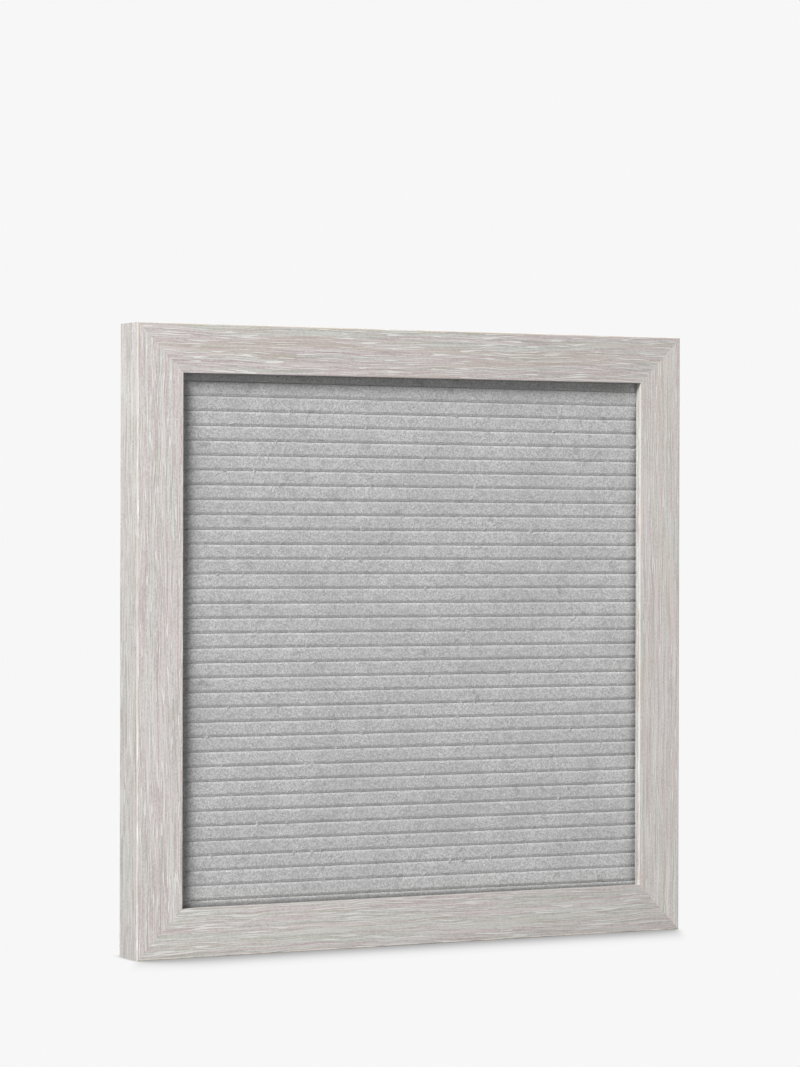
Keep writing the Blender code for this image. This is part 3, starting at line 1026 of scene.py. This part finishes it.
def rays_that_show(tree):
    """1 for the rays that show the page itself: from the camera, off gloss and through glass."""
    path = tree.nodes.new("ShaderNodeLightPath")
    total = path.outputs["Is Camera Ray"]
    for name in ("Is Glossy Ray", "Is Transmission Ray"):
        adding = tree.nodes.new("ShaderNodeMath")
        adding.operation = "ADD"
        adding.use_clamp = True
        tree.links.new(total, adding.inputs[0])
        tree.links.new(path.outputs[name], adding.inputs[1])
        total = adding.outputs[0]
    return total


def under_board(surface):
    """1 on the floor before the board, fading at both ends of a slanting strip and close behind it."""
    low, high = cad_box
    x, y, _ = surface.split(surface.coordinates)
    before = surface.math("MAXIMUM", surface.minus(low.y, y), 0.0)
    slanted = surface.add(x, surface.times(before, CONTACT_SLANT))
    reach = surface.math("ABSOLUTE", slanted)
    ends = surface.step(reach, high.x - CONTACT_END_FADE, high.x + CONTACT_END_FADE, 1.0, 0.0)
    behind = surface.step(y, high.y, high.y + CONTACT_BEHIND, 1.0, 0.0)
    return surface.times(ends, behind)


def make_floor():
    """A floor of the page's white, with the board's soft shadow where the two meet."""
    surface = Surface("white_floor")
    tree = surface.tree
    surface.finish((FLOOR_BOUNCE,) * 3 + (1.0,), 1.0)
    surface.shader.inputs["Specular IOR Level"].default_value = 0.0
    contact = tree.nodes.new("ShaderNodeAmbientOcclusion")
    contact.samples = CONTACT_SAMPLES
    contact.inputs["Distance"].default_value = CONTACT_REACH
    hidden = surface.math("POWER", surface.minus(1.0, contact.outputs["AO"]), CONTACT_CURVE)
    hidden = surface.times(hidden, under_board(surface))
    shade = surface.minus(1.0, surface.times(hidden, CONTACT_DEPTH))
    shade = surface.math("MAXIMUM", shade, CONTACT_DARKEST)
    glow = tree.nodes.new("ShaderNodeEmission")
    surface.plug(surface.times(shade, PAGE_WHITE), glow.inputs["Strength"])
    glow.inputs["Color"].default_value = (1.0, 1.0, 1.0, 1.0)
    blend = tree.nodes.new("ShaderNodeMixShader")
    tree.links.new(rays_that_show(tree), blend.inputs[0])
    tree.links.new(surface.shader.outputs[0], blend.inputs[1])
    tree.links.new(glow.outputs[0], blend.inputs[2])
    tree.links.new(blend.outputs[0], tree.nodes["Material Output"].inputs["Surface"])
    edge = FLOOR_HALF_SIZE
    corners = [(-edge, -edge, 0.0), (edge, -edge, 0.0), (edge, edge, 0.0), (-edge, edge, 0.0)]
    floor = add_mesh("floor", corners, [(0, 1, 2, 3)], surface.material)
    floor.location.z = cad_box[0].z - FLOOR_DROP


def make_world():
    """The page all round, and a dim even sky as the light from it."""
    world = bpy.data.worlds.new("studio")
    bpy.context.scene.world = world
    world.use_nodes = True
    tree = world.node_tree
    tree.nodes.clear()
    strength = tree.nodes.new("ShaderNodeMapRange")
    strength.inputs["To Min"].default_value = SKY_LIGHT
    strength.inputs["To Max"].default_value = PAGE_WHITE
    background = tree.nodes.new("ShaderNodeBackground")
    background.inputs["Color"].default_value = (1.0, 1.0, 1.0, 1.0)
    output = tree.nodes.new("ShaderNodeOutputWorld")
    tree.links.new(rays_that_show(tree), strength.inputs["Value"])
    tree.links.new(strength.outputs[0], background.inputs["Strength"])
    tree.links.new(background.outputs[0], output.inputs[0])


def make_lamp(name, toward, distance, size, power):
    """A round soft lamp that faces the middle of the board."""
    lamp = bpy.data.lights.new(name, "AREA")
    lamp.shape = "DISK"
    lamp.size = size
    lamp.energy = power
    low, high = cad_box
    way = Vector(toward).normalized()
    holder = bpy.data.objects.new(name, lamp)
    holder.location = (low + high) / 2 + way * distance
    holder.rotation_euler = way.to_track_quat("Z", "Y").to_euler()
    holder.visible_camera = False
    bpy.context.collection.objects.link(holder)


def make_camera():
    """The camera that took the photograph, as far as it can be without a lens shift."""
    lens = bpy.data.cameras.new("camera")
    lens.sensor_width = SENSOR_MM
    lens.lens = FOCAL_PX * SENSOR_MM / PHOTO_HEIGHT_PX
    lens.clip_start = 0.01
    lens.clip_end = 50.0
    level = math.cos(CAMERA_PITCH)
    forward = Vector((math.sin(CAMERA_TURN) * level, math.cos(CAMERA_TURN) * level, math.sin(CAMERA_PITCH)))
    right = Vector((math.cos(CAMERA_TURN), -math.sin(CAMERA_TURN), 0.0))
    up = right.cross(forward)
    tilted_right = right * math.cos(CAMERA_ROLL) + up * math.sin(CAMERA_ROLL)
    tilted_up = up * math.cos(CAMERA_ROLL) - right * math.sin(CAMERA_ROLL)
    matrix = Matrix((tilted_right, tilted_up, -forward)).transposed().to_4x4()
    matrix.translation = CAMERA_PLACE
    camera = bpy.data.objects.new("camera", lens)
    camera.matrix_world = matrix
    bpy.context.collection.objects.link(camera)
    bpy.context.scene.camera = camera


make_camera()
make_world()
make_lamp("key", **KEY_LAMP)
make_lamp("fill", **FILL_LAMP)
make_lamp("back", **BACK_LAMP)
make_floor()
make_rails()
make_felt(grey_felt("grey_felt"))
make_lint(lint_material("felt_lint"))
dress_nodes()
bpy.context.scene.view_settings.view_transform = "Standard"
